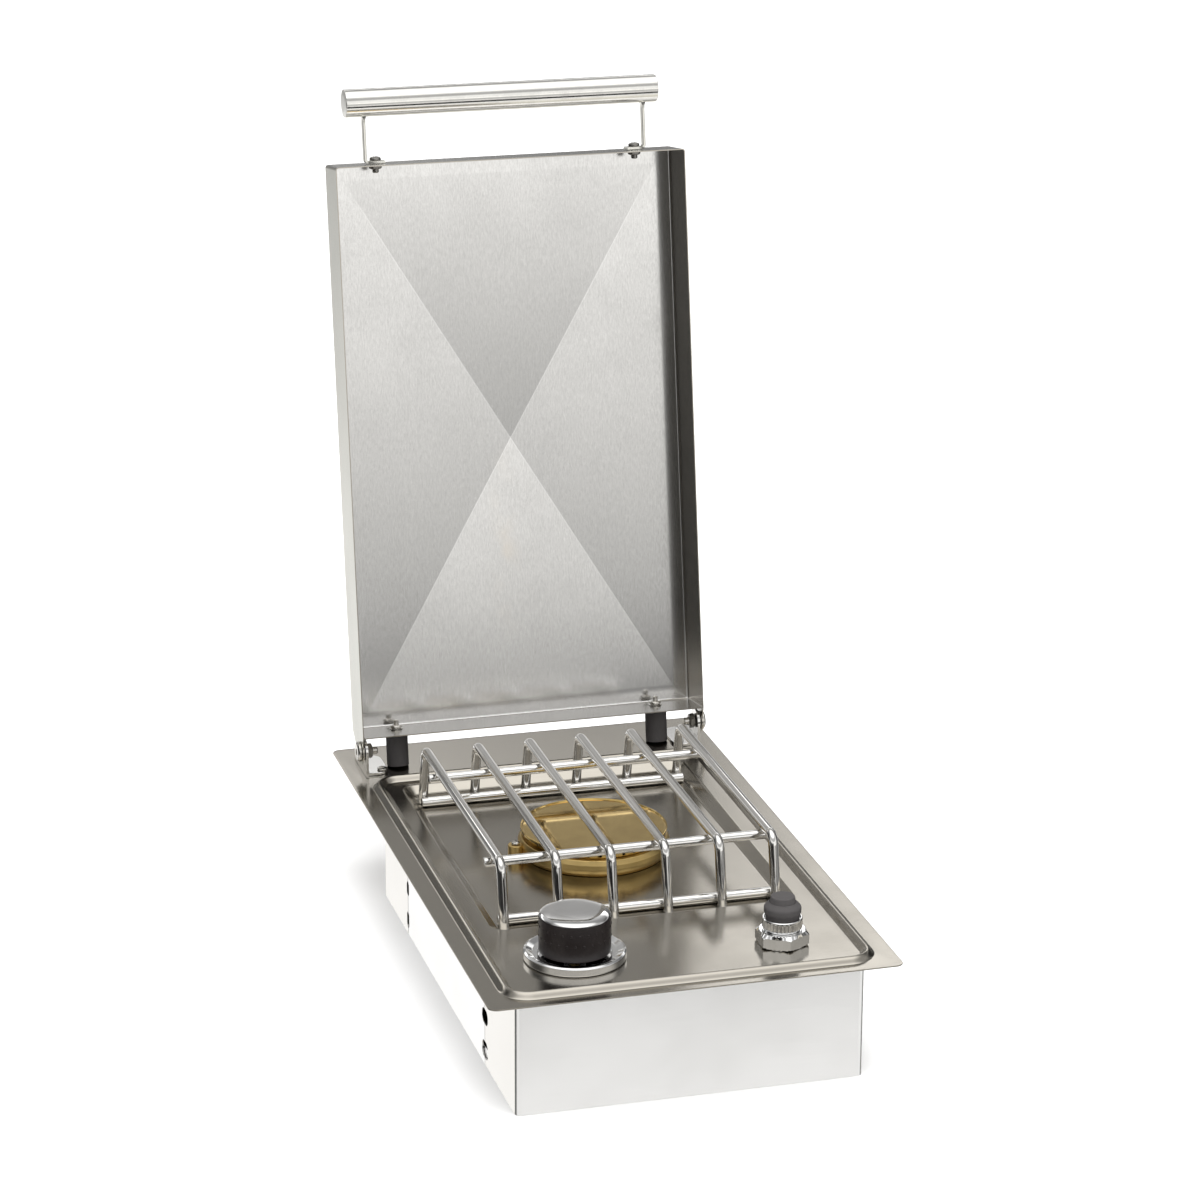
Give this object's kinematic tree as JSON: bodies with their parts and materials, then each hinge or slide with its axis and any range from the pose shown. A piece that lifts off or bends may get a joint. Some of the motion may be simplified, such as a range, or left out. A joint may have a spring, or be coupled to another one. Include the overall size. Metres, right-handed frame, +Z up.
{
  "type": "built in side burner",
  "caption": "Drop-in gas side burner: drawn steel top with raised bead, brass burner under a rod grate, knob, igniter, sheet box and a hinged lid with handle.",
  "frame": {"origin": "centre of the underside of the burner box", "axes": "+Z up, -Y towards the cook (knob side), +X to the cook's right"},
  "size_m": [0.305, 0.5667, 0.6266],
  "materials": {
    "satin_steel": "satin rolled stainless, fine vertical grain on the lid",
    "bright_steel": "bright satin stainless sheet",
    "polished_steel": "polished round rod, bar and fasteners",
    "chrome": "bright chrome plate",
    "brass": "turned and polished brass",
    "cast_alloy": "plain cast and drawn alloy",
    "black_rubber": "matt moulded rubber",
    "black_plastic": "moulded black, rows of raised dots on the knob",
    "ceramic": "glazed white ceramic",
    "lead_sleeve": "red silicone sleeve"
  },
  "bodies": {
    "root": {"burner_pan": "satin_steel", "box_front_wrap": "bright_steel", "box_rear_wrap": "bright_steel", "box_side_left": "bright_steel", "box_side_right": "bright_steel", "bottom_plate": "bright_steel", "hinge_bracket_left": "bright_steel", "hinge_bracket_right": "bright_steel", "pivot_bolt_left": "polished_steel", "pivot_bolt_right": "polished_steel", "pivot_nut_left": "polished_steel", "pivot_nut_right": "polished_steel", "bracket_screw_left": "polished_steel", "bracket_screw_right": "polished_steel", "burner_base": "brass", "burner_screw_left": "polished_steel", "burner_screw_rear": "polished_steel", "venturi_tube": "cast_alloy", "air_shutter": "bright_steel", "gas_orifice": "brass", "gas_valve_body": "cast_alloy", "gas_inlet_pipe": "cast_alloy", "gas_inlet_fitting": "brass", "inlet_locknut": "brass", "knob_bezel": "chrome", "igniter_body": "black_plastic", "igniter_nut": "chrome", "igniter_collar": "chrome", "igniter_boot": "black_rubber", "electrode_ceramic": "ceramic", "spark_rod": "polished_steel", "ignition_lead": "lead_sleeve"},
    "lid": {"lid_panel": "satin_steel", "handle_bar": "polished_steel", "handle_strap_left": "polished_steel", "handle_strap_right": "polished_steel", "handle_bolt_left": "polished_steel", "handle_bolt_right": "polished_steel", "handle_nut_left": "polished_steel", "handle_nut_right": "polished_steel", "lid_bumper_left": "black_rubber", "lid_bumper_right": "black_rubber", "bumper_stud_left": "polished_steel", "bumper_stud_right": "polished_steel"},
    "grate": {"grate_rod_1": "polished_steel", "grate_rod_2": "polished_steel", "grate_rod_3": "polished_steel", "grate_rod_4": "polished_steel", "grate_rod_5": "polished_steel", "grate_rod_6": "polished_steel", "grate_bar_upper_front": "polished_steel", "grate_bar_upper_rear": "polished_steel", "grate_bar_lower_front": "polished_steel", "grate_bar_lower_rear": "polished_steel"},
    "burner_cap": {"burner_cap": "brass"},
    "valve_push": {"stem_collar": "cast_alloy"},
    "knob": {"knob_body": "black_plastic", "knob_cap": "chrome", "valve_stem": "brass"},
    "igniter_button": {"igniter_button": "black_rubber"}
  },
  "joints": [
    {"name": "lid_hinge", "type": "hinge", "parent": "root", "child": "lid", "pos_m": [0, 0.238, 0.1115], "axis": [1, 0, 0], "range_deg": [0, 99]},
    {"name": "grate_lift", "type": "slide", "parent": "root", "child": "grate", "axis": [0, 0, 1], "range_m": [0, 0.06]},
    {"name": "burner_cap_lift", "type": "slide", "parent": "root", "child": "burner_cap", "axis": [0, 0, 1], "range_m": [0, 0.02]},
    {"name": "knob_push", "type": "slide", "parent": "root", "child": "valve_push", "axis": [0, 0, -1], "range_m": [0, 0.0025], "stiffness_N_per_m": 800, "springref_m": -0.01},
    {"name": "knob_turn", "type": "hinge", "parent": "valve_push", "child": "knob", "pos_m": [-0.071, -0.153, 0.11], "axis": [0, 0, 1], "range_deg": [0, 210]},
    {"name": "igniter_push", "type": "slide", "parent": "root", "child": "igniter_button", "axis": [0, 0, -1], "range_m": [0, 0.004], "stiffness_N_per_m": 500, "springref_m": -0.006}
  ]
}
